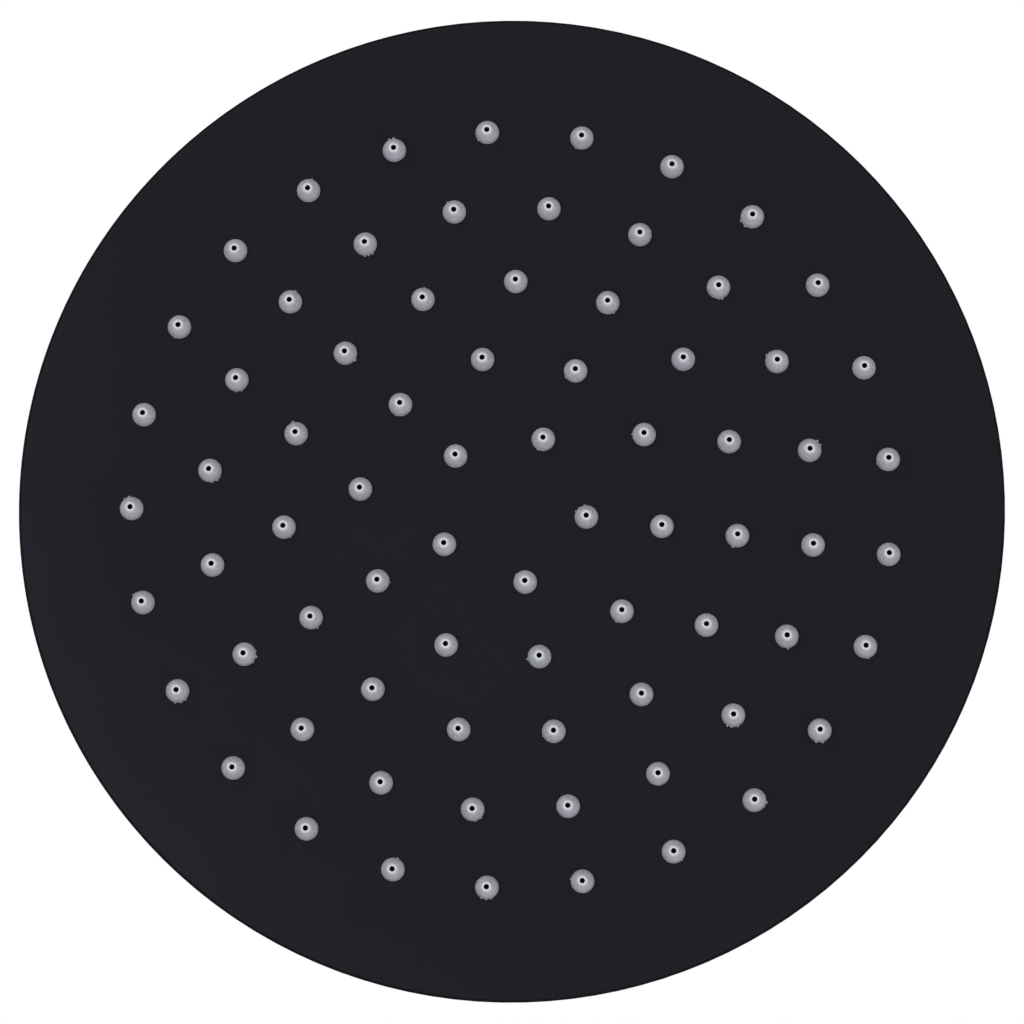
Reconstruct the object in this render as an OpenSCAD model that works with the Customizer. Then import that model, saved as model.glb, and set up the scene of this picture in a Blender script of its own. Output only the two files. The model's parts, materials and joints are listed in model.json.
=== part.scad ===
// Round rain shower head: a slim pressed-steel water chamber with soft jet nozzles,
// hung from a swivel ball joint that screws onto a shower arm or riser pipe.
// Frame: +Z up, origin on the axis at the mouth of the inlet thread. The spray face looks down.
// Sizes are millimetres. Heights named *_z are measured from the origin, or from the centre of the
// ball in the sections of the joint's own pieces.

/* [Head] */
// Overall diameter of the head
head_d = 200; // [150:1:300]
// Thickness of the pressed spray face
face_t = 1.0; // [0.8:0.1:1.5]
// Thickness of the pressed back pan
pan_t = 1.0; // [0.8:0.1:1.5]
// Thickness of the lip turned up round the face
lip_t = 1.2; // [1.0:0.1:1.6]
// Outside radius of the bend between face and lip
edge_r = 0.7; // [0.4:0.1:0.9]
// Radius of the lip's top outer corner
lip_top_r = 0.3; // [0.1:0.1:0.5]
// Thickness of the gasket between the two rims
gasket_t = 0.3; // [0.2:0.1:0.6]
// Width of the flat rim outside the water chamber
rim_w = 15; // [8:0.5:17]
// Height of the water chamber at its outer wall
chamber_edge_h = 4.5; // [3.5:0.5:7]
// Height of the water chamber under the hub
chamber_hub_h = 8; // [7.5:0.5:16]
// Lean of the chamber's outer wall from the horizontal
wall_angle = 58; // [40:1:75]
// Inside radius of the pan's bends at its wall
bend_r = 2.2; // [1:0.1:3]
// Inside radius of the pan's shallow bend round its flat middle
hub_bend_r = 9; // [4:0.5:20]
// Width of the pan's flat middle outside the hub's flange
plateau_margin = 8; // [4:0.5:12]
// Diameter of the spacer studs that tie face and pan together
stud_d = 5; // [3:0.5:6]
// Number of studs on each circle of studs
stud_count = 5; // [3:1:6]

/* [Nozzles] */
// Distance from the edge of the head to the outermost ring of nozzles
outer_ring_inset = 23; // [22:0.5:30]
// Nozzles in the innermost ring; each further ring has as many more
ring_step = 5; // [3:1:6]
// Diameter of a nozzle where it meets the face
nozzle_d = 4.8; // [4.2:0.1:5.6]
// Height that a nozzle stands out of the face
nozzle_h = 4.0; // [3:0.1:5]
// Radius of a nozzle's bulged flank, in section
flank_r = 11; // [8:0.5:30]
// Radius of the rounding round the tip
tip_round_r = 0.32; // [0.2:0.02:0.5]
// Diameter of the flat part of the tip
tip_flat_d = 1.46; // [1.3:0.02:1.6]
// Diameter of the jet orifice
orifice_d = 1.1; // [0.5:0.05:1.2]
// Length of the straight orifice
orifice_l = 0.7; // [0.4:0.1:1.5]
// Diameter of a nozzle's bore above its taper
nozzle_bore_d = 2.2; // [1.6:0.1:2.4]
// Length of the taper from bore to orifice
taper_l = 1.5; // [0.8:0.1:2]
// Diameter of the neck that fills the hole in the face
neck_hole_d = 3.4; // [3:0.1:3.8]
// Diameter of the barb inside the face
barb_d = 5.4; // [4.6:0.1:6]
// Thickness of the barb
barb_t = 0.9; // [0.6:0.1:1.5]

/* [Swivel joint] */
// Diameter of the ball
ball_d = 22; // [18:0.5:27]
// Height cut off the bottom of the ball, where the water leaves it
ball_cut_h = 1.5; // [1:0.1:2.5]
// Diameter of the neck above the ball
neck_d = 11; // [10:0.5:12]
// Diameter of the water bore through neck and ball
bore_d = 7.5; // [5:0.5:8]
// Tilt allowed about each of the two horizontal axes, in degrees
tilt_limit = 12; // [5:1:13]
// Gap between the ball and its seats
ball_clear = 0.05; // [0.02:0.01:0.1]
// Gap between the neck and anything that swings past it
neck_clear = 0.4; // [0.3:0.1:0.6]
// Thickness of the upper seat ring
seat_t = 1.55; // [1.2:0.05:2]
// Height of the nut above the lip that holds the upper seat
nut_lip_h = 3; // [2:0.5:4]
// Wall of the nut outside its thread
nut_wall = 2.9; // [2.5:0.1:4]
// Depth of the six flats on the nut
nut_flat_depth = 1; // [0.5:0.1:1.5]
// Radius round the top of the nut
nut_top_r = 4; // [2:0.5:4]
// Wall of the hub's cup inside its thread
cup_wall = 1.5; // [1.2:0.1:2.5]
// Pitch of the thread between hub and nut
hub_pitch = 1.5; // [1:0.25:2]
// Depth of that thread
hub_thread_depth = 0.9; // [0.6:0.1:0.9]
// Width of the hub's flange outside the nut
flange_margin = 2; // [1:0.5:6]
// Thickness of the hub's flange
hub_flange_t = 3; // [2:0.5:5]
// Wall of the spigot that passes through the pan
spigot_wall = 3.8; // [2:0.1:5]
// Height of the lower seal ring
seal_h = 5; // [4:0.5:5]
// Thickness of the washer under the lower seal
backing_t = 1; // [0.8:0.1:1.4]

/* [Inlet] */
// Turns of thread in the socket
inlet_turns = 4; // [4:1:6]
// Wall of the socket at the middle of its six flats
socket_wall = 1.42; // [1.2:0.01:4]
// Thickness of the rubber inlet washer
washer_t = 2; // [1.5:0.1:3]
// Bore of the rubber inlet washer
washer_bore_d = 12; // [10:0.5:13]
// Thickness of the filter screen
screen_t = 0.4; // [0.3:0.1:0.6]
// Width of the filter's square holes
mesh_hole = 0.9; // [0.6:0.1:1]
// Spacing of the filter's square holes
mesh_pitch = 1.4; // [1.3:0.1:2]
// Diameter of the flow regulator's pocket
pocket_d = 15; // [14:0.5:15.5]
// Depth of the flow regulator's pocket
pocket_h = 4.5; // [4.5:0.5:6]

/* [Hidden] */
$fn = 96;

// Small amounts used all over the design
fit_gap = 0.1;          // between pieces that are assembled and don't move
spin_gap = 0.05;        // round pieces that turn in their bores
swing_gap = 0.4;        // past pieces that tilt
overcut = 1;            // how far a cut runs past the surface it opens
ledge = 0.01;           // keeps two curves from meeting in a point
bend_steps = 10;        // straight stretches in each bend of the pan
edge_chamfer = 0.6;     // on turned edges

// The standard G1/2 pipe thread, as cut in a socket
inlet_crest_d = 18.631;
inlet_root_d = 20.955;
inlet_pitch = 1.814;

// Heights down the inlet, from the mouth of the thread
mouth_chamfer = 0.4;
thread_flat = 0.22;     // flat crest and flat root, as a share of the pitch
thread_end_z = -mouth_chamfer - (inlet_turns + thread_flat) * inlet_pitch;
relief_r = inlet_root_d / 2 + fit_gap;
relief_lead = 0.4;      // slope from the last turn out to the relief
washer_top_z = thread_end_z - relief_lead - fit_gap;
screen_top_z = washer_top_z - washer_t;
pocket_top_z = screen_top_z - screen_t;
pocket_floor_z = pocket_top_z - pocket_h;
collar_floor_t = 2;
collar_end_z = pocket_floor_z - collar_floor_t;
collar_taper_h = 3.5;
collar_step = 3;        // width of the collar's underside round the neck
collar_chamfer = 1.2;

// The joint, in section, from the centre of the ball
ball_r = ball_d / 2;
neck_r = neck_d / 2;
ball_low_z = ball_cut_h - ball_r;
exit_flare = 1;
seat_in_r = ball_r + ball_clear;
seat_out_r = seat_in_r + seat_t;
nut_seat_r = seat_out_r + spin_gap;
corner_tilt = acos(cos(tilt_limit) * cos(tilt_limit)); // both tilts at their limits together
lip_polar = corner_tilt + asin((neck_r + neck_clear) / nut_seat_r);
lip_edge = nut_seat_r * [sin(lip_polar), cos(lip_polar)];
hub_rim_z = 0.5;
nut_step_z = hub_rim_z + swing_gap;
seat_top_polar = tilt_limit + asin((neck_r + neck_clear) / seat_in_r);
seat_low_polar = 90 - tilt_limit - asin(nut_step_z / seat_in_r);
seal_top_z = -1;
seal_low_z = seal_top_z - seal_h;
cup_floor_z = seal_low_z - backing_t;
cup_r = seat_out_r;
seal_r = cup_r - spin_gap;
swing_r = ball_r + swing_gap;                        // what rides on the head stays outside this
backing_bore_r = sqrt(swing_r * swing_r - seal_low_z * seal_low_z);
cup_bore_r = sqrt(swing_r * swing_r - cup_floor_z * cup_floor_z);
hub_root_r = cup_r + cup_wall;
hub_thread_r = hub_root_r + hub_thread_depth;
hub_thread_turns = floor((hub_rim_z - cup_floor_z) / hub_pitch - thread_flat);
hub_thread_low_z = hub_rim_z - (hub_thread_turns + thread_flat) * hub_pitch;
cup_base_t = 1.5;
hub_flange_top_z = cup_floor_z - cup_base_t;
hub_seat_z = hub_flange_top_z - hub_flange_t;
spigot_r = cup_bore_r + spigot_wall;
spigot_stand = 0.7;     // how far the spigot stands through the pan
nut_rise = lip_edge[1] + nut_lip_h;
nut_mouth_r = nut_rise * tan(corner_tilt) + neck_r / cos(corner_tilt) + 2 * neck_clear;
nut_low_z = hub_flange_top_z + swing_gap;
nut_r = hub_thread_r + fit_gap + nut_wall;
nut_flats = 2 * (nut_r - nut_flat_depth);
hub_flange_r = nut_r + flange_margin;
nut_round = [nut_r - nut_top_r, nut_rise - nut_top_r];
nut_sweep_z = nut_round[1] * cos(corner_tilt) + nut_round[0] * sin(corner_tilt) + nut_top_r;
ball_z = collar_end_z - nut_sweep_z - 2 * neck_clear; // centre of the ball, from the origin

// The head, from the origin
pan_top_z = ball_z + hub_seat_z;
face_in_z = pan_top_z - pan_t - chamber_hub_h;
face_out_z = face_in_z - face_t;
head_r = head_d / 2;
lip_in_r = head_r - lip_t;
pan_rim_r = lip_in_r - fit_gap;
pan_rim_z = face_in_z + gasket_t;
lip_top_z = pan_rim_z + pan_t;
wall_foot_r = head_r - rim_w;
wall_top_z = face_in_z + chamber_edge_h;
wall_top_r = wall_foot_r - (wall_top_z - pan_rim_z) / tan(wall_angle);
gasket_in_r = wall_foot_r + pan_t + bend_r;
plateau_r = hub_flange_r + plateau_margin;
pan_bore_r = spigot_r + fit_gap;

// Nozzle rings share one spoke in every ring_step-th part of a turn
ring_count = 5;
ring_pitch = (head_r - outer_ring_inset) / ring_count;
stud_rings = [1.5, 3.5];                             // in ring pitches, midway between nozzle rings
function ring_r(k) = k * ring_pitch;
function ring_nozzles(k) = k * ring_step;

// Points of a circular bend between two straight stretches that meet at b
function unit(v) = v / norm(v);
function bend(a, b, c, r) =
    let (
        u = unit(a - b), v = unit(c - b),
        half = acos(u * v) / 2,
        centre = b + unit(u + v) * r / sin(half),
        from = b + u * r / tan(half) - centre,
        to = b + v * r / tan(half) - centre,
        start = atan2(from[1], from[0]),
        turn = atan2(from[0] * to[1] - from[1] * to[0], from * to)
    )
    [for (i = [0:bend_steps])
        let (angle = start + turn * i / bend_steps) centre + r * [cos(angle), sin(angle)]];

// A corner of a sheet's other face, t away on the left of the way a, b, c
function left_of(v) = [-v[1], v[0]];
function sheet_corner(a, b, c, t) =
    let (m = left_of(unit(b - a)), n = left_of(unit(c - b))) b + t * (m + n) / (1 + m * n);

// Rings of thread down a wall: crest_r at the top, root_r in each groove
function thread_wall(crest_r, root_r, pitch, turns, top_z) =
    let (flat = thread_flat * pitch, flank = (0.5 - thread_flat) * pitch)
    [for (i = [0:turns]) each
        let (z = top_z - i * pitch)
        i < turns
        ? [[crest_r, z], [crest_r, z - flat], [root_r, z - flat - flank], [root_r, z - pitch + flank]]
        : [[crest_r, z], [crest_r, z - flat]]];

module lift(z) {
    translate([0, 0, z]) children();
}

// The pan's lower face, from its rim to the hub
pan_low = [
    [pan_rim_r, pan_rim_z],
    [wall_foot_r, pan_rim_z],
    [wall_top_r, wall_top_z],
    [plateau_r, pan_top_z - pan_t],
    [pan_bore_r, pan_top_z - pan_t]
];
pan_high = [
    [pan_rim_r, lip_top_z],
    sheet_corner(pan_low[0], pan_low[1], pan_low[2], -pan_t),
    sheet_corner(pan_low[1], pan_low[2], pan_low[3], -pan_t),
    sheet_corner(pan_low[2], pan_low[3], pan_low[4], -pan_t),
    [pan_bore_r, pan_top_z]
];
function pan_face(p, foot_r, top_r, hub_r) = concat(
    [p[0]],
    bend(p[0], p[1], p[2], foot_r),
    bend(p[1], p[2], p[3], top_r),
    bend(p[2], p[3], p[4], hub_r),
    [p[4]]
);
pan_low_face = pan_face(pan_low, bend_r + pan_t, bend_r, hub_bend_r);
pan_high_face = pan_face(pan_high, bend_r, bend_r + pan_t, hub_bend_r + pan_t);
function backwards(list) = [for (i = [len(list) - 1:-1:0]) list[i]];

module back_pan() {
    color("#1d1e22")
        rotate_extrude() polygon(concat(pan_low_face, backwards(pan_high_face)));
}

// Flat disc with a turned-up lip, rounded outside
module face_section() {
    round_z = lip_top_z - lip_top_r;
    bend_z = face_out_z + edge_r;
    translate([0, face_out_z]) square([head_r - edge_r, face_t]);
    translate([lip_in_r, bend_z]) square([lip_t, round_z - bend_z]);
    translate([lip_in_r, bend_z]) square([lip_t - lip_top_r, lip_top_z - bend_z]);
    translate([head_r - edge_r, bend_z]) circle(r = edge_r);
    translate([head_r - lip_top_r, round_z]) circle(r = lip_top_r);
}

// Puts a copy at each nozzle of ring k
module at_nozzles(k) {
    for (i = [0:ring_nozzles(k) - 1])
        rotate([0, 0, i * 360 / ring_nozzles(k)]) translate([ring_r(k), 0, 0]) children();
}

module face_plate() {
    color("#1f2025")
        difference() {
            rotate_extrude() face_section();
            for (k = [1:ring_count])
                at_nozzles(k)
                    lift(face_out_z - overcut) cylinder(d = neck_hole_d, h = face_t + 2 * overcut);
        }
}

module rim_gasket() {
    color("#3a3b3f")
        lift(face_in_z)
            difference() {
                cylinder(r = pan_rim_r, h = gasket_t);
                lift(-overcut) cylinder(r = gasket_in_r, h = gasket_t + 2 * overcut);
            }
}

// Pillars between face and pan; their tops follow the pan's slope
module spacer_studs() {
    chamber = concat(
        [[0, face_in_z], [pan_low[1][0], face_in_z]],
        bend(pan_low[1], pan_low[2], pan_low[3], bend_r),
        bend(pan_low[2], pan_low[3], pan_low[4], hub_bend_r),
        [[0, pan_low[4][1]]]
    );
    color("#a9abae")
        intersection() {
            for (k = stud_rings, i = [0:stud_count - 1])
                rotate([0, 0, (i + 0.5) * 360 / stud_count])
                    translate([ring_r(k), 0, face_in_z]) cylinder(d = stud_d, h = 2 * chamber_hub_h);
            rotate_extrude() polygon(chamber);
        }
}

// Half of a nozzle in section: its face side down, the sheet's outer face at height 0
nozzle_r = nozzle_d / 2;
tip_centre = [tip_flat_d / 2, -nozzle_h + tip_round_r];
tip_start = 30;         // where the flank runs into the rounding, in degrees below the horizontal
flank_end = tip_centre + tip_round_r * [cos(tip_start), -sin(tip_start)];
flank_chord = flank_end - [nozzle_r, 0];
flank_centre = [nozzle_r, 0] + flank_chord / 2
    + sqrt(flank_r * flank_r - flank_chord * flank_chord / 4) * unit([flank_chord[1], -flank_chord[0]]);
module nozzle_section() {
    neck_r = neck_hole_d / 2;
    barb_r = barb_d / 2;
    barb_top_z = face_t + barb_t;
    tip_steps = 5;
    tip = [for (i = [0:tip_steps])
        let (angle = tip_start + (90 - tip_start) * i / tip_steps)
        tip_centre + tip_round_r * [cos(angle), -sin(angle)] - [i == 0 ? ledge : 0, 0]];
    difference() {
        union() {
            intersection() {
                translate(flank_centre) circle(r = flank_r);
                polygon(concat([[0, 0], [nozzle_d, 0], [nozzle_d, flank_end[1]]], tip, [[0, -nozzle_h]]));
            }
            polygon([
                [0, 0], [neck_r, 0], [neck_r, face_t], [barb_r, face_t], [barb_r, face_t + barb_t / 2],
                [barb_r - barb_t / 2, barb_top_z], [0, barb_top_z]
            ]);
        }
        polygon([
            [0, barb_top_z + overcut], [nozzle_bore_d / 2, barb_top_z + overcut],
            [nozzle_bore_d / 2, -nozzle_h + orifice_l + taper_l], [orifice_d / 2, -nozzle_h + orifice_l],
            [orifice_d / 2, -nozzle_h - overcut], [0, -nozzle_h - overcut]
        ]);
    }
}

module nozzle_ring(k) {
    color("#9c9ca5") at_nozzles(k) lift(face_out_z) rotate_extrude() nozzle_section();
}

// The cup that holds the seal and takes the nut, with its flange and spigot
module hub() {
    spigot_low_z = hub_seat_z - pan_t - spigot_stand;
    color("#1d1e22")
        lift(ball_z) rotate_extrude()
            polygon(concat(
                [[cup_r, hub_rim_z]],
                thread_wall(hub_thread_r, hub_root_r, hub_pitch, hub_thread_turns, hub_rim_z),
                [
                    [hub_root_r, hub_thread_low_z - edge_chamfer],
                    [hub_root_r, hub_flange_top_z],
                    [hub_flange_r - edge_chamfer, hub_flange_top_z],
                    [hub_flange_r, hub_flange_top_z - edge_chamfer],
                    [hub_flange_r, hub_seat_z],
                    [spigot_r, hub_seat_z],
                    [spigot_r, spigot_low_z],
                    [cup_bore_r, spigot_low_z],
                    [cup_bore_r, cup_floor_z],
                    [cup_r, cup_floor_z]
                ]
            ));
}

// Nut with a spherical inside that keeps the upper seat on the ball
module retaining_nut() {
    groove_r = hub_thread_r + fit_gap;
    mouth = [nut_mouth_r, nut_rise];
    mouth_cut = 0.3 * (mouth - lip_edge);       // runs the mouth's cone past both its ends
    side_h = nut_round[1] - nut_low_z;
    color("#1d1e22")
        lift(ball_z)
            intersection() {
                rotate_extrude() difference() {
                    union() {
                        translate([0, nut_low_z]) square([nut_r, side_h]);
                        square([nut_round[0], nut_rise]);
                        translate(nut_round) circle(r = nut_top_r);
                    }
                    circle(r = nut_seat_r);
                    polygon(concat(
                        [[0, nut_step_z], [groove_r, nut_step_z]],
                        thread_wall(groove_r, hub_root_r + fit_gap, hub_pitch, hub_thread_turns, hub_rim_z),
                        [[groove_r, nut_low_z - overcut], [0, nut_low_z - overcut]]
                    ));
                    polygon([[0, 0], lip_edge - mouth_cut, mouth + mouth_cut, [0, 2 * nut_rise]]);
                    polygon([
                        [nut_r - edge_chamfer - overcut, nut_low_z - overcut],
                        [nut_r + overcut, nut_low_z - overcut],
                        [nut_r + overcut, nut_low_z + edge_chamfer + overcut]
                    ]);
                }
                lift(nut_low_z - overcut)
                    cylinder(d = nut_flats / cos(30), h = side_h + nut_top_r + 2 * overcut, $fn = 6);
            }
}

// Ring between two spheres: the ball inside it and the nut outside it
module upper_seat() {
    reach = 2 * seat_out_r;
    color("#e6e4dc")
        lift(ball_z) rotate_extrude() intersection() {
            difference() {
                circle(r = seat_out_r);
                circle(r = seat_in_r);
            }
            polygon([
                [0, 0],
                reach * [sin(seat_top_polar), cos(seat_top_polar)],
                reach * [sin(seat_low_polar), cos(seat_low_polar)]
            ]);
        }
}

module lower_seal() {
    color("#2b2c2e")
        lift(ball_z) rotate_extrude() difference() {
            translate([0, seal_low_z]) square([seal_r, seal_h]);
            circle(r = seat_in_r);
        }
}

module backing_washer() {
    color("#b9babd")
        lift(ball_z + cup_floor_z)
            difference() {
                cylinder(r = seal_r, h = backing_t);
                lift(-overcut) cylinder(r = backing_bore_r, h = backing_t + 2 * overcut);
            }
}

// Ball, neck and hexagonal socket in one turned piece
module ball_stem() {
    flat_r = relief_r + socket_wall;
    corner_r = flat_r / cos(30);
    taper_top_z = collar_end_z + collar_taper_h;
    neck_end_z = taper_top_z - ball_z;
    color("#1d1e22")
        difference() {
            union() {
                lift(ball_z) rotate_extrude() {
                    intersection() {
                        circle(r = ball_r);
                        translate([0, ball_low_z]) square([ball_r, ball_d]);
                    }
                    square([neck_r, neck_end_z]);
                    polygon([
                        [0, neck_end_z], [flat_r, neck_end_z],
                        [neck_r + collar_step, neck_end_z - collar_taper_h], [0, neck_end_z - collar_taper_h]
                    ]);
                }
                intersection() {
                    lift(taper_top_z) cylinder(r = corner_r, h = -taper_top_z, $fn = 6);
                    rotate_extrude()
                        polygon([
                            [0, 0], [corner_r - collar_chamfer, 0], [corner_r, -collar_chamfer / 2],
                            [corner_r, taper_top_z + collar_chamfer], [flat_r, taper_top_z], [0, taper_top_z]
                        ]);
                }
            }
            rotate_extrude() inlet_bore_section();
            lift(ball_z - ball_r) cylinder(d = bore_d, h = ball_r + neck_end_z);
            lift(ball_z + ball_low_z - ledge)
                cylinder(d1 = bore_d + 2 * exit_flare, d2 = bore_d, h = exit_flare);
        }
}

// The socket's thread, its relief and the regulator's pocket
module inlet_bore_section() {
    polygon(concat(
        [[0, overcut], [inlet_crest_d / 2 + mouth_chamfer + overcut, overcut]],
        thread_wall(inlet_crest_d / 2, inlet_root_d / 2, inlet_pitch, inlet_turns, -mouth_chamfer),
        [
            [relief_r, thread_end_z - relief_lead], [relief_r, pocket_top_z],
            [pocket_d / 2, pocket_top_z], [pocket_d / 2, pocket_floor_z], [0, pocket_floor_z]
        ]
    ));
}

module inlet_washer() {
    color("#232325")
        lift(screen_top_z)
            difference() {
                cylinder(r = relief_r - 3 * fit_gap, h = washer_t);
                lift(-overcut) cylinder(d = washer_bore_d, h = washer_t + 2 * overcut);
            }
}

// Thin disc with a square grid of holes inside the washer's bore
module filter_screen() {
    open_r = washer_bore_d / 2 - mesh_hole;
    reach = floor(open_r / mesh_pitch);
    color("#c9cacc")
        lift(pocket_top_z)
            difference() {
                cylinder(r = relief_r - 3 * fit_gap, h = screen_t);
                for (i = [-reach:reach], j = [-reach:reach])
                    if (norm([i, j]) * mesh_pitch <= open_r)
                        translate([i * mesh_pitch, j * mesh_pitch, screen_t / 2])
                            cube([mesh_hole, mesh_hole, screen_t + 2 * overcut], center = true);
            }
}

// Flow regulator: a cup with a ring of outlet holes round a lobed post, a soft ring that
// closes on the lobes as the pressure rises, and a cap with a ring of inlet holes
regulator_r = pocket_d / 2 - fit_gap;
regulator_wall = 1.1;
regulator_foot = 0.8;       // lifts the cup's floor off the pocket's
regulator_floor_t = 0.9;
regulator_cap_t = 0.8;
regulator_top = pocket_h - fit_gap;
post_r = 2.2;
soft_ring_r = 0.75;         // half the thickness of the soft ring
soft_ring_mid_r = 4.1;
port_d = 1.4;
port_count = 8;
lobe_r = 0.4;

module regulator_ports(low_z, t) {
    for (i = [0:port_count - 1])
        rotate([0, 0, i * 360 / port_count])
            translate([soft_ring_mid_r, 0, low_z - overcut]) cylinder(d = port_d, h = t + 2 * overcut);
}

module regulator_body() {
    floor_top = regulator_foot + regulator_floor_t;
    cap_seat = regulator_top - regulator_cap_t;
    well_r = regulator_r - regulator_wall;
    color("#d8d3c4")
        lift(pocket_floor_z)
            difference() {
                union() {
                    difference() {
                        cylinder(r = regulator_r, h = regulator_top);
                        lift(floor_top) cylinder(r = well_r, h = regulator_top);
                        lift(cap_seat) cylinder(r = regulator_r - regulator_wall / 2, h = regulator_top);
                        lift(-overcut) cylinder(r = well_r, h = regulator_foot + overcut);
                    }
                    lift(floor_top - ledge) cylinder(r = post_r, h = cap_seat - floor_top + ledge);
                    for (i = [0:port_count - 1])
                        rotate([0, 0, (i + 0.5) * 360 / port_count])
                            translate([post_r + lobe_r / 2, 0, floor_top - ledge])
                                cylinder(r = lobe_r, h = 2 * soft_ring_r + ledge);
                }
                regulator_ports(regulator_foot, regulator_floor_t);
            }
}

module regulator_ring() {
    color("#c8452f")
        lift(pocket_floor_z + regulator_foot + regulator_floor_t + soft_ring_r)
            rotate_extrude() translate([soft_ring_mid_r, 0]) circle(r = soft_ring_r);
}

module regulator_cap() {
    color("#efece2")
        lift(pocket_floor_z + regulator_top - regulator_cap_t)
            difference() {
                cylinder(r = regulator_r - regulator_wall / 2 - spin_gap, h = regulator_cap_t);
                regulator_ports(0, regulator_cap_t);
            }
}

face_plate();
back_pan();
rim_gasket();
spacer_studs();
nozzle_ring(1);  // nozzle_ring_1
nozzle_ring(2);  // nozzle_ring_2
nozzle_ring(3);  // nozzle_ring_3
nozzle_ring(4);  // nozzle_ring_4
nozzle_ring(5);  // nozzle_ring_5
hub();
retaining_nut();
upper_seat();
lower_seal();
backing_washer();
ball_stem();
inlet_washer();
filter_screen();
regulator_body();
regulator_ring();
regulator_cap();
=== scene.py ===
import json
import math
import random

import bmesh
import bpy
from mathutils import Matrix, Vector, noise


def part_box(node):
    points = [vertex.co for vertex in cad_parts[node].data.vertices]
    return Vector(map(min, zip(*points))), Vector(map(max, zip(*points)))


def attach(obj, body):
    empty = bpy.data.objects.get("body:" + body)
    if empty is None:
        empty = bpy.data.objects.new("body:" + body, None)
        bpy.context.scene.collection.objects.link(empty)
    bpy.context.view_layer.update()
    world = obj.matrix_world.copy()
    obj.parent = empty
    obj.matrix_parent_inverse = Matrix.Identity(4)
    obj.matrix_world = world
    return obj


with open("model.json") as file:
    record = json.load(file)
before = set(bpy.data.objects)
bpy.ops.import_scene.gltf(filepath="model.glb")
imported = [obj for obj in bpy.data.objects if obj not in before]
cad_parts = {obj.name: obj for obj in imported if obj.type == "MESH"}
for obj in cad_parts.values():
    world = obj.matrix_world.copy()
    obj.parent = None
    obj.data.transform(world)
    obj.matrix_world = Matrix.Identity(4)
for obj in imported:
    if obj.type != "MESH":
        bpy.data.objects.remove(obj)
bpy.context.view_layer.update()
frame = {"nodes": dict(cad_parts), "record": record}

MM = 0.001

face_low, face_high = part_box("face_plate")
HEAD_R = (face_high.x - face_low.x) / 2
FACE_Z = face_low.z
NOZZLE_TIP_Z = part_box("nozzle_ring_1")[0].z
NOZZLE_BASE_R = 2.4 * MM
RINGS = 5
RING_STEP = 5           # nozzles that each ring has more than the one inside it
RING_PITCH = (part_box("nozzle_ring_5")[1].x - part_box("nozzle_ring_1")[1].x) / (RINGS - 1)


# Camera, as it stood for the photograph: under the head, a little off the face's axis.

CAMERA_DISTANCE = 12.514 * HEAD_R
CAMERA_SHIFT = (-0.0021 * HEAD_R, 0.0088 * HEAD_R)
FACE_PITCH = -0.0961
FACE_YAW = -0.0240
FACE_ROLL = -0.1258
SENSOR = 36.0
LENS = 217.12
CLIP = (0.05, 30)


def make_camera():
    """The face's own frame has its normal towards the camera and the row's -Y up."""
    turn = (
        Matrix.Rotation(FACE_PITCH, 4, "X")
        @ Matrix.Rotation(FACE_YAW, 4, "Y")
        @ Matrix.Rotation(FACE_ROLL, 4, "Z")
    )
    seen = Matrix.Translation((*CAMERA_SHIFT, -CAMERA_DISTANCE)) @ turn
    face = Matrix.Translation((0, 0, FACE_Z)) @ Matrix.Diagonal((1, -1, -1, 1))
    data = bpy.data.cameras.new("camera")
    data.sensor_width = SENSOR
    data.lens = LENS
    data.clip_start, data.clip_end = CLIP
    camera = bpy.data.objects.new("camera", data)
    bpy.context.scene.collection.objects.link(camera)
    camera.matrix_world = face @ seen.inverted()
    bpy.context.scene.camera = camera


# Node materials. Patterns are placed by the piece's own coordinates, in metres.


def scaled(colour, factor):
    return tuple(part * factor for part in colour)


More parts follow.
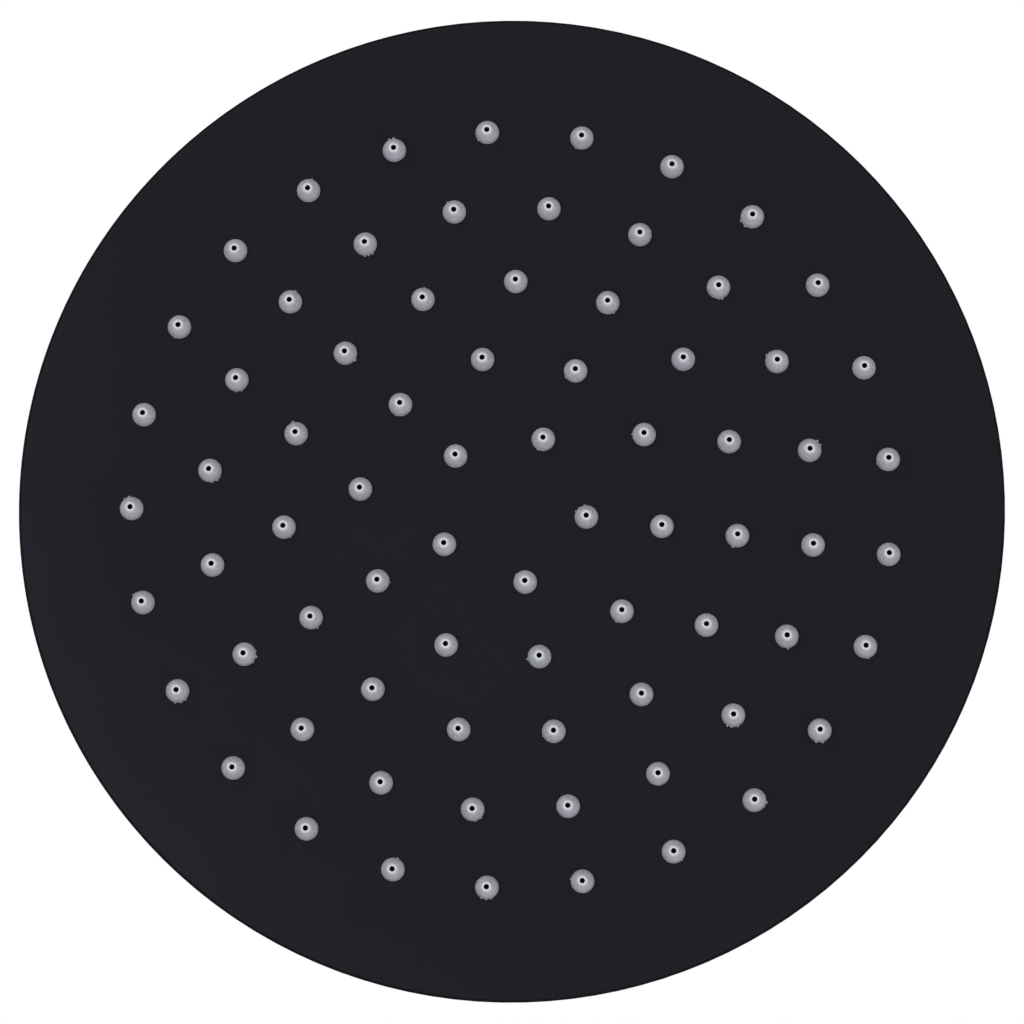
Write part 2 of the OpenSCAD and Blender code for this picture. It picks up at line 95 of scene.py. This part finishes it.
class Look:
    """A node material built round one Principled shader."""

    def __init__(self, name, **constants):
        self.material = bpy.data.materials.new(name)
        self.material.use_nodes = True
        self.nodes = self.material.node_tree.nodes
        self.links = self.material.node_tree.links
        self.shader = self.nodes["Principled BSDF"]
        for socket, value in constants.items():
            self.shader.inputs[socket.replace("_", " ")].default_value = value
        self.place = self.nodes.new("ShaderNodeTexCoord").outputs["Object"]
        self.relief = None

    def link(self, output, socket):
        self.links.new(output, self.shader.inputs[socket])

    def linked(self, socket):
        """What feeds one of the shader's sockets so far."""
        return self.shader.inputs[socket].links[0].from_socket

    def noise(self, size_mm, detail=2.0, stretch=(1, 1, 1), distortion=0.0):
        mapping = self.nodes.new("ShaderNodeMapping")
        mapping.inputs["Scale"].default_value = stretch
        self.links.new(self.place, mapping.inputs["Vector"])
        node = self.nodes.new("ShaderNodeTexNoise")
        node.inputs["Scale"].default_value = 1 / (size_mm * MM)
        node.inputs["Detail"].default_value = detail
        node.inputs["Distortion"].default_value = distortion
        self.links.new(mapping.outputs["Vector"], node.inputs["Vector"])
        return node.outputs["Fac"]

    def span(self, value, low, high, to_low=0.0, to_high=1.0):
        """Maps low..high to to_low..to_high, smooth and clamped."""
        node = self.nodes.new("ShaderNodeMapRange")
        node.interpolation_type = "SMOOTHSTEP"
        node.inputs["From Min"].default_value = low
        node.inputs["From Max"].default_value = high
        node.inputs["To Min"].default_value = to_low
        node.inputs["To Max"].default_value = to_high
        self.links.new(value, node.inputs["Value"])
        return node.outputs["Result"]

    def math(self, operation, a, b=0):
        node = self.nodes.new("ShaderNodeMath")
        node.operation = operation
        for socket, value in zip(node.inputs, (a, b)):
            if isinstance(value, (int, float)):
                socket.default_value = value
            else:
                self.links.new(value, socket)
        return node.outputs[0]

    def squared(self, value):
        return self.math("MULTIPLY", value, value)

    def mix(self, factor, a, b):
        node = self.nodes.new("ShaderNodeMix")
        node.data_type = "RGBA"
        colour_a, colour_b, result = node.inputs[6], node.inputs[7], node.outputs[2]
        self.links.new(factor, node.inputs["Factor"])
        for socket, value in ((colour_a, a), (colour_b, b)):
            if isinstance(value, tuple):
                socket.default_value = (*value, 1)
            else:
                self.links.new(value, socket)
        return result

    def axis(self, name):
        node = self.nodes.new("ShaderNodeSeparateXYZ")
        self.links.new(self.place, node.inputs["Vector"])
        return node.outputs[name]

    def radius(self):
        """Distance from the row's Z axis."""
        return self.math("SQRT", self.math("ADD", self.squared(self.axis("X")), self.squared(self.axis("Y"))))

    def nozzle_distance(self):
        """Distance from the axis of the nearest nozzle: the ring first, then the place round the ring."""
        radius = self.radius()
        ring = self.math("ROUND", self.math("DIVIDE", radius, RING_PITCH))
        ring = self.math("MINIMUM", self.math("MAXIMUM", ring, 1), RINGS)
        ring_radius = self.math("MULTIPLY", ring, RING_PITCH)
        step = self.math("DIVIDE", 2 * math.pi / RING_STEP, ring)
        places = self.math("DIVIDE", self.math("ARCTAN2", self.axis("Y"), self.axis("X")), step)
        off = self.math("MULTIPLY", self.math("SUBTRACT", places, self.math("ROUND", places)), step)
        turn = self.math("SUBTRACT", 1, self.math("COSINE", off))
        chord = self.math("MULTIPLY", self.math("MULTIPLY", radius, ring_radius), turn)
        out = self.math("SUBTRACT", radius, ring_radius)
        return self.math("SQRT", self.math("ADD", self.squared(out), self.math("MULTIPLY", chord, 2)))

    def bump(self, height, depth_mm):
        node = self.nodes.new("ShaderNodeBump")
        node.inputs["Strength"].default_value = 1.0
        node.inputs["Distance"].default_value = depth_mm * MM
        self.links.new(height, node.inputs["Height"])
        if self.relief:
            self.links.new(self.relief, node.inputs["Normal"])
        self.relief = node.outputs["Normal"]
        self.link(self.relief, "Normal")


# The black coat: sizes of its patterns, in millimetres, and where the face's coat is rougher and darkened by
# painted shade.

CLOUD_MM = 46
PEEL_MM = 3.4
PEEL_DEPTH_MM = 0.004
GRAIN_MM = 0.32
# rings where painted shade darkens the face: a painted contact shadow round each nozzle's foot and a painted
# dark edge on the rim's rounding
FOOT_RING = (NOZZLE_BASE_R + 0.35 * MM, NOZZLE_BASE_R + 0.10 * MM)
FOOT_DULLING = 0.35
RIM_RING = (HEAD_R - 0.75 * MM, HEAD_R - 0.50 * MM)
RIM_HEIGHT = (FACE_Z + 0.8 * MM, FACE_Z + 0.5 * MM)
RIM_DULLING = 0.6


def black_coat(name, colour, rough, grain_depth_mm, gloss=0.24):
    """Satin black coating: fine grain, faint orange peel, cloudy sheen."""
    look = Look(name, Specular_IOR_Level=gloss)
    clouds = look.noise(CLOUD_MM, detail=3, distortion=0.4)
    grain = look.noise(GRAIN_MM)
    look.link(look.mix(look.span(clouds, 0.3, 0.7), colour, scaled(colour, 1.22)), "Base Color")
    sheen = look.span(clouds, 0.25, 0.75, rough - 0.02, rough + 0.025)
    look.link(look.math("ADD", sheen, look.span(grain, 0.3, 0.7, -0.03, 0.03)), "Roughness")
    look.bump(look.noise(PEEL_MM, detail=1), PEEL_DEPTH_MM)
    look.bump(grain, grain_depth_mm)
    return look


def face_look():
    """The coat is rougher, and darkened by painted shade, where it meets a nozzle and on the rounding of the
    rim.
    """
    look = black_coat("satin_black_face", (0.0024, 0.0026, 0.0056), 0.33, 0.0016, gloss=0.165)
    foot = look.span(look.nozzle_distance(), *FOOT_RING)
    rim = look.math("MULTIPLY", look.span(look.radius(), *RIM_RING), look.span(look.axis("Z"), *RIM_HEIGHT))
    painted_shade = look.math("MAXIMUM", foot, rim)
    # painted shade: the face's colour turns darker round each nozzle's foot and on the rim's rounding
    look.link(look.mix(painted_shade, look.linked("Base Color"), (0.0012, 0.0012, 0.0022)), "Base Color")
    rough = look.math("ADD", look.linked("Roughness"), look.math("MULTIPLY", foot, FOOT_DULLING))
    look.link(look.math("ADD", rough, look.math("MULTIPLY", rim, RIM_DULLING)), "Roughness")
    return look.material


def pan_look():
    return black_coat("satin_black_pan", (0.0036, 0.0040, 0.0078), 0.36, 0.002).material


def turned_coat(name, rough, mark_mm):
    """The coat over turned metal, whose fine rings show through it."""
    look = black_coat(name, (0.0040, 0.0042, 0.0070), rough, 0.0012)
    look.bump(look.noise(mark_mm, detail=1, stretch=(0.02, 0.02, 1)), 0.0015)
    return look


def joint_look():
    return turned_coat("satin_black_joint", 0.30, 0.5).material


def stem_look():
    """The coat stops inside the socket, where the thread and the regulator's pocket are bare brass."""
    look = turned_coat("satin_black_stem", 0.28, 0.4)
    inlet = next(mount for mount in frame["record"]["mounts"] if mount["name"] == "INLET")
    socket_r = inlet["dims"]["r_mm"] * MM + 1.5 * MM
    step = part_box("filter_screen")[0].z
    pocket_low, pocket_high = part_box("regulator_body")
    pocket_r = pocket_high.x + 0.5 * MM
    height = look.axis("Z")
    limit = look.span(height, step - 0.25 * MM, step - 0.05 * MM, pocket_r, socket_r)
    within = look.span(look.math("SUBTRACT", look.radius(), limit), 0.2 * MM, -0.2 * MM)
    above_floor = look.span(height, pocket_low.z - 0.6 * MM, pocket_low.z - 0.2 * MM)
    bare = look.math("MULTIPLY", within, above_floor)
    stain = look.span(look.noise(2.6, detail=4, distortion=0.6), 0.35, 0.7)
    brass = look.mix(stain, (0.62, 0.42, 0.17), (0.44, 0.27, 0.10))
    look.link(look.mix(bare, look.linked("Base Color"), brass), "Base Color")
    look.link(bare, "Metallic")
    look.link(look.math("ADD", look.linked("Roughness"), look.math("MULTIPLY", bare, -0.04)), "Roughness")
    return look.material


# Soft pieces, steel and plastic.

# painted shade deepens the silicone's colour near each nozzle's foot
FOOT_SHADE_H = 2.2 * MM     # height of the deeper tone above a nozzle's foot
# a painted highlight pales the silicone's colour near each nozzle's tip
TIP_START = 1.0 * MM        # distance from the tip where the paler tone starts
TIP_FULL = 0.1 * MM         # and where it is full


def silicone_look(name="grey_silicone", colour=(0.345, 0.345, 0.383), tip_highlight=(0.455, 0.455, 0.482)):
    """Translucent silicone with dusty mottling, a painted highlight paler at the tip and painted shade deeper
    at the foot.
    """
    look = Look(name, Specular_IOR_Level=0.4, Subsurface_Weight=0.12, Subsurface_Scale=0.0006)
    look.shader.inputs["Subsurface Radius"].default_value = (1.0, 1.0, 1.1)
    height = look.axis("Z")
    foot_shade_mask = look.span(height, FACE_Z - FOOT_SHADE_H, FACE_Z)
    tip_highlight_mask = look.span(height, NOZZLE_TIP_Z + TIP_START, NOZZLE_TIP_Z + TIP_FULL)
    mottle = look.noise(0.6, detail=3)
    cloud = look.span(look.noise(5), 0.3, 0.7)
    body = look.mix(cloud, scaled(colour, 0.90), scaled(colour, 1.04))
    body = look.mix(look.span(mottle, 0.45, 0.75), body, scaled(colour, 1.22))
    # painted shade: darker towards the foot
    body = look.mix(foot_shade_mask, body, scaled(colour, 0.70))
    # painted highlight: paler at the tip
    look.link(look.mix(tip_highlight_mask, body, tip_highlight), "Base Color")
    look.link(look.span(mottle, 0.3, 0.7, 0.44, 0.56), "Roughness")
    look.bump(look.noise(0.22, detail=3), 0.014)
    look.bump(mottle, 0.03)
    return look.material


def rubber_look(name, colour):
    """Moulded rubber with a pale bloom in patches."""
    look = Look(name, Specular_IOR_Level=0.4)
    bloom = look.noise(4, detail=4)
    pale = tuple(part * 1.9 + 0.004 for part in colour)
    look.link(look.mix(look.span(bloom, 0.4, 0.75), colour, pale), "Base Color")
    look.link(look.span(bloom, 0.3, 0.7, 0.55, 0.75), "Roughness")
    look.bump(look.noise(0.25, detail=3), 0.01)
    return look.material


def steel_look():
    look = Look("bare_steel", Metallic=1.0)
    brushed = look.noise(0.25, stretch=(1, 0.04, 1))
    cloud = look.span(look.noise(3, detail=3), 0.3, 0.7)
    look.link(look.mix(cloud, (0.50, 0.50, 0.51), (0.62, 0.61, 0.60)), "Base Color")
    look.link(look.span(brushed, 0.3, 0.7, 0.22, 0.38), "Roughness")
    look.bump(brushed, 0.002)
    return look.material


def plastic_look(name, colour):
    look = Look(name, Specular_IOR_Level=0.5, Subsurface_Weight=0.08, Subsurface_Scale=0.001)
    cloud = look.span(look.noise(6, detail=3), 0.3, 0.7)
    look.link(look.mix(cloud, colour, scaled(colour, 0.92)), "Base Color")
    look.link(look.span(look.noise(0.4), 0.3, 0.7, 0.34, 0.46), "Roughness")
    look.bump(look.noise(0.3), 0.004)
    return look.material


def give_looks():
    rubber = rubber_look("black_rubber_look", (0.016, 0.016, 0.017))
    steel = steel_look()
    regulator = plastic_look("ivory_acetal", (0.66, 0.63, 0.52))
    joint = joint_look()
    silicone = silicone_look()
    looks = {
        "face_plate": face_look(),
        "back_pan": pan_look(),
        "rim_gasket": rubber,
        "spacer_studs": steel,
        "hub": joint,
        "retaining_nut": joint,
        "upper_seat": plastic_look("white_acetal", (0.76, 0.75, 0.70)),
        "lower_seal": rubber,
        "backing_washer": steel,
        "ball_stem": stem_look(),
        "inlet_washer": rubber,
        "filter_screen": steel,
        "regulator_body": regulator,
        "regulator_ring": rubber_look("red_silicone", (0.42, 0.05, 0.03)),
        "regulator_cap": regulator,
    }
    for name, node in frame["nodes"].items():
        look = looks.get(name, silicone)
        for slot in node.material_slots:
            slot.material = look


# Smooth shading across the facets that stand for bends, without moving any vertex.

MERGE_DISTANCE = 2e-6
SHARP_ANGLE = math.radians(24)


def smooth_group():
    tree = bpy.data.node_groups.new("smooth_bends", "GeometryNodeTree")
    tree.interface.new_socket("Geometry", in_out="INPUT", socket_type="NodeSocketGeometry")
    tree.interface.new_socket("Geometry", in_out="OUTPUT", socket_type="NodeSocketGeometry")
    new, link = tree.nodes.new, tree.links.new
    start, end = new("NodeGroupInput"), new("NodeGroupOutput")
    merge = new("GeometryNodeMergeByDistance")
    merge.inputs["Distance"].default_value = MERGE_DISTANCE
    forget = new("GeometryNodeRemoveAttribute")
    forget.inputs["Name"].default_value = "custom_normal"
    faces = new("GeometryNodeSetShadeSmooth")
    faces.domain = "FACE"
    faces.inputs["Shade Smooth"].default_value = True
    edges = new("GeometryNodeSetShadeSmooth")
    edges.domain = "EDGE"
    angle = new("GeometryNodeInputMeshEdgeAngle")
    flat = new("FunctionNodeCompare")
    flat.data_type = "FLOAT"
    flat.operation = "LESS_THAN"
    flat.inputs["B"].default_value = SHARP_ANGLE
    link(start.outputs[0], merge.inputs["Geometry"])
    link(merge.outputs["Geometry"], forget.inputs["Geometry"])
    link(forget.outputs["Geometry"], faces.inputs["Geometry"])
    link(faces.outputs["Geometry"], edges.inputs["Geometry"])
    link(angle.outputs["Unsigned Angle"], flat.inputs["A"])
    link(flat.outputs["Result"], edges.inputs["Shade Smooth"])
    link(edges.outputs["Geometry"], end.inputs[0])
    return tree


def smooth_cad_nodes():
    tree = smooth_group()
    for node in frame["nodes"].values():
        modifier = node.modifiers.new("smooth_bends", "NODES")
        modifier.node_group = tree


# Silicone flash: small torn tufts that moulding leaves where some nozzles meet the face.

FLASH_SEED = 11
FLASH_SHARE = 0.62              # of the nozzles have tufts
FLASH_COUNTS = (1, 1, 2, 3)     # tufts at one nozzle, to choose from
FLASH_MM = (0.14, 0.26)         # size of a tuft
FLASH_STEP = (0.25, 0.6)        # angle from one tuft to the next, in radians
FLASH_BED = 0.02 * MM           # how far a tuft's flat side sinks into the face
FLASH_RISE = 0.25               # how far a tuft's middle stands off the face, in its own heights
FLASH_GAP = 0.05                # how far its middle stands off the nozzle, in its own sizes
FLASH_LUMPS = ((0.45, 1.6), (0.2, 4))   # strength and scale of the noise that shapes it
SEED_REACH = 50                 # side of the noise's region that seeds are drawn from


def nozzle_centres():
    for ring in range(1, RINGS + 1):
        count = RING_STEP * ring
        for step in range(count):
            angle = 2 * math.pi * step / count
            yield Vector((math.cos(angle), math.sin(angle), 0)) * ring * RING_PITCH


def tuft(bm, centre, angle, size, rng):
    """An irregular low blob against the nozzle's foot, flat where it lies on the face."""
    out = Vector((math.cos(angle), math.sin(angle), 0))
    side = Vector((-out.y, out.x, 0))
    foot = centre + out * (NOZZLE_BASE_R + size * FLASH_GAP)
    made = bmesh.ops.create_icosphere(bm, subdivisions=3, radius=1)
    seed = Vector([rng.uniform(0, SEED_REACH) for _ in range(3)])
    along = size * rng.uniform(0.8, 1.3)
    across = size * rng.uniform(0.7, 1.2)
    tall = size * rng.uniform(0.6, 0.9)
    for v in made["verts"]:
        p = v.co.copy()
        grow = sum((strength * noise.noise(p * scale + seed) for strength, scale in FLASH_LUMPS), 1)
        v.co = foot + out * (p.x * across * grow) + side * (p.y * along * grow)
        v.co.z = FACE_Z - max(-FLASH_BED, (p.z + FLASH_RISE) * tall * grow)


def make_flash():
    rng = random.Random(FLASH_SEED)
    bm = bmesh.new()
    for centre in nozzle_centres():
        if rng.random() > FLASH_SHARE:
            continue
        angle = rng.uniform(0, 2 * math.pi)
        for _ in range(rng.choice(FLASH_COUNTS)):
            tuft(bm, centre, angle, rng.uniform(*FLASH_MM) * MM, rng)
            angle += rng.uniform(*FLASH_STEP)
    mesh = bpy.data.meshes.new("nozzle_flash")
    bm.to_mesh(mesh)
    bm.free()
    mesh.shade_smooth()
    flash = bpy.data.objects.new("nozzle_flash", mesh)
    bpy.context.scene.collection.objects.link(flash)
    # the flash lies at the nozzles' feet, so it takes the silicone's painted foot shade too
    mesh.materials.append(silicone_look("silicone_flash", (0.31, 0.31, 0.345)))
    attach(flash, "head")


# Studio: white above, a pale floor far below the hanging head, soft lamps all round it.

FLOOR_Z = -2.1
FLOOR_R = 16.0
FLOOR_PATCH_MM = 900
WORLD_RISE = (0.55, 0.95)       # heights of view between which the world turns from grey to white
WORLD_STRENGTH = (0.60, 1.0)
WHITE = (1, 1, 1)
COOL = (0.86, 0.92, 1.0)
LOW_LAMP = {"distance": 1.6, "size": 0.9}       # lamps below the head
HIGH_LAMP = {"distance": 1.8, "size": 0.8}      # lamps above it


def make_world():
    world = bpy.data.worlds.new("studio")
    bpy.context.scene.world = world
    world.use_nodes = True
    nodes, links = world.node_tree.nodes, world.node_tree.links
    background = nodes["Background"]
    place = nodes.new("ShaderNodeTexCoord")
    split = nodes.new("ShaderNodeSeparateXYZ")
    links.new(place.outputs["Generated"], split.inputs["Vector"])
    ramp = nodes.new("ShaderNodeMapRange")
    ramp.interpolation_type = "SMOOTHSTEP"
    ramp.inputs["From Min"].default_value, ramp.inputs["From Max"].default_value = WORLD_RISE
    ramp.inputs["To Min"].default_value, ramp.inputs["To Max"].default_value = WORLD_STRENGTH
    links.new(split.outputs["Z"], ramp.inputs["Value"])
    links.new(ramp.outputs["Result"], background.inputs["Strength"])
    background.inputs["Color"].default_value = (*WHITE, 1)


def make_floor():
    bm = bmesh.new()
    bmesh.ops.create_circle(bm, cap_ends=True, segments=96, radius=FLOOR_R)
    mesh = bpy.data.meshes.new("floor")
    bm.to_mesh(mesh)
    bm.free()
    floor = bpy.data.objects.new("floor", mesh)
    floor.location.z = FLOOR_Z
    bpy.context.scene.collection.objects.link(floor)
    look = Look("pale_floor", Roughness=0.8, Specular_IOR_Level=0.2)
    patches = look.noise(FLOOR_PATCH_MM, detail=3)
    look.link(look.mix(patches, (0.70, 0.70, 0.70), (0.73, 0.73, 0.73)), "Base Color")
    mesh.materials.append(look.material)


def lamp(name, azimuth, polar, power, distance, size, colour=WHITE):
    """A square soft lamp aimed at the head; polar is its angle off straight down."""
    a, p = math.radians(azimuth), math.radians(polar)
    aim = Vector((0, 0, FACE_Z))
    away = Vector((math.cos(a) * math.sin(p), math.sin(a) * math.sin(p), -math.cos(p)))
    data = bpy.data.lights.new(name, "AREA")
    data.size = size
    data.energy = power
    data.color = colour
    light = bpy.data.objects.new(name, data)
    light.location = aim + away * distance
    light.rotation_mode = "QUATERNION"
    light.rotation_quaternion = away.to_track_quat("Z", "Y")
    bpy.context.scene.collection.objects.link(light)


def make_lamps():
    lamp("front_left_lamp", azimuth=148, polar=40, power=9.8, colour=COOL, **LOW_LAMP)
    lamp("front_right_lamp", azimuth=40, polar=58, power=10.5, **LOW_LAMP)
    lamp("back_left_lamp", azimuth=222, polar=58, power=8, **LOW_LAMP)
    lamp("back_right_lamp", azimuth=315, polar=58, power=5.5, **LOW_LAMP)
    lamp("top_left_lamp", azimuth=200, polar=130, power=14, **HIGH_LAMP)
    lamp("top_right_lamp", azimuth=320, polar=140, power=10, **HIGH_LAMP)


make_camera()
make_world()
make_floor()
make_lamps()
give_looks()
smooth_cad_nodes()
make_flash()

bpy.context.scene.view_settings.view_transform = "Standard"
